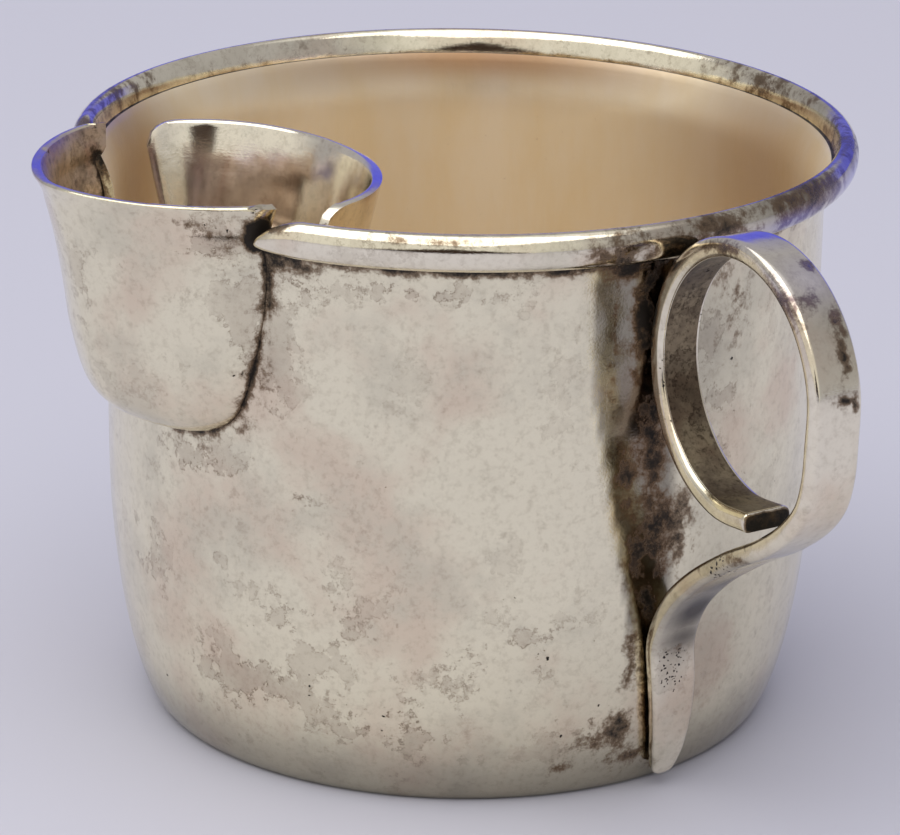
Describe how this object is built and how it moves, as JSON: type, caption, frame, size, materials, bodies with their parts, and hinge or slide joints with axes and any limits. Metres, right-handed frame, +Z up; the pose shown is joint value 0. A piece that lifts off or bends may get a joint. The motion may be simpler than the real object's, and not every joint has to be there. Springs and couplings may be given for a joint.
{
  "type": "childs cup",
  "caption": "Small round silver cup with a formed side spout, a guard plate standing behind the spout, an applied rim wire and a looped strap handle with a leaf-shaped tail.",
  "frame": {"origin": "centre of the flat base, on the face the cup stands on", "axes": "+Z up out of the mouth, +X towards the handle, -Y towards the spout"},
  "size_m": [0.1026, 0.0868, 0.0612],
  "materials": {
    "silver_body": "worn satin silver with brown tarnish in the seams, gilt inside",
    "silver_wire": "silver wire polished by use, dark where it meets the wall",
    "silver_plate": "bright rolled silver sheet with fine scratches",
    "silver_strap": "worn silver strap with dark blotches of tarnish"
  },
  "bodies": {
    "root": {"cup_body": "silver_body", "rim_wire": "silver_wire", "spout": "silver_body", "guard_plate": "silver_plate", "handle": "silver_strap"}
  },
  "joints": []
}
